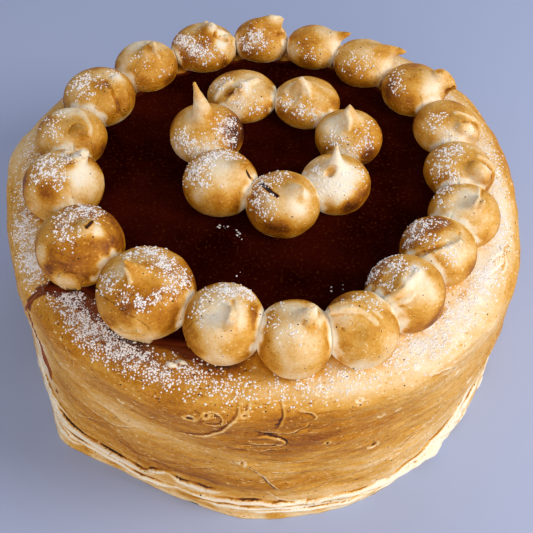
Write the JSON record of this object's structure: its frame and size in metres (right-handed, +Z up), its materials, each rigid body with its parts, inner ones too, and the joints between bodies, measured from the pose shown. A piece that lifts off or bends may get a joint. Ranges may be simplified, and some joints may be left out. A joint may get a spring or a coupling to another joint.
{
  "type": "meringue cake",
  "caption": "Uncut round cake in torched meringue, its flat top ringed with piped dollops round a pool of dark glaze",
  "frame": {"origin": "middle of the bounding box on the plane of the flat underside", "axes": "+Z up through the cake, -Y towards the side that faces a guest, +X to that guest's right"},
  "size_m": [0.2254, 0.2222, 0.1194],
  "materials": {
    "meringue_coat": "torched meringue, satin, amber and pale by turns",
    "chocolate_glaze": "dark set glaze, wet gloss",
    "meringue_dollop": "piped meringue, toasted on the raised sides"
  },
  "bodies": {
    "root": {"cake_body": "meringue_coat", "chocolate_glaze": "chocolate_glaze", "dollop_outer_01": "meringue_dollop", "dollop_outer_02": "meringue_dollop", "dollop_outer_03": "meringue_dollop", "dollop_outer_04": "meringue_dollop", "dollop_outer_05": "meringue_dollop", "dollop_outer_06": "meringue_dollop", "dollop_outer_07": "meringue_dollop", "dollop_outer_08": "meringue_dollop", "dollop_outer_09": "meringue_dollop", "dollop_outer_10": "meringue_dollop", "dollop_outer_11": "meringue_dollop", "dollop_outer_12": "meringue_dollop", "dollop_outer_13": "meringue_dollop", "dollop_outer_14": "meringue_dollop", "dollop_outer_15": "meringue_dollop", "dollop_outer_16": "meringue_dollop", "dollop_outer_17": "meringue_dollop", "dollop_outer_18": "meringue_dollop", "dollop_outer_19": "meringue_dollop", "dollop_inner_01": "meringue_dollop", "dollop_inner_02": "meringue_dollop", "dollop_inner_03": "meringue_dollop", "dollop_inner_04": "meringue_dollop", "dollop_inner_05": "meringue_dollop", "dollop_inner_06": "meringue_dollop", "dollop_inner_07": "meringue_dollop"}
  },
  "joints": []
}
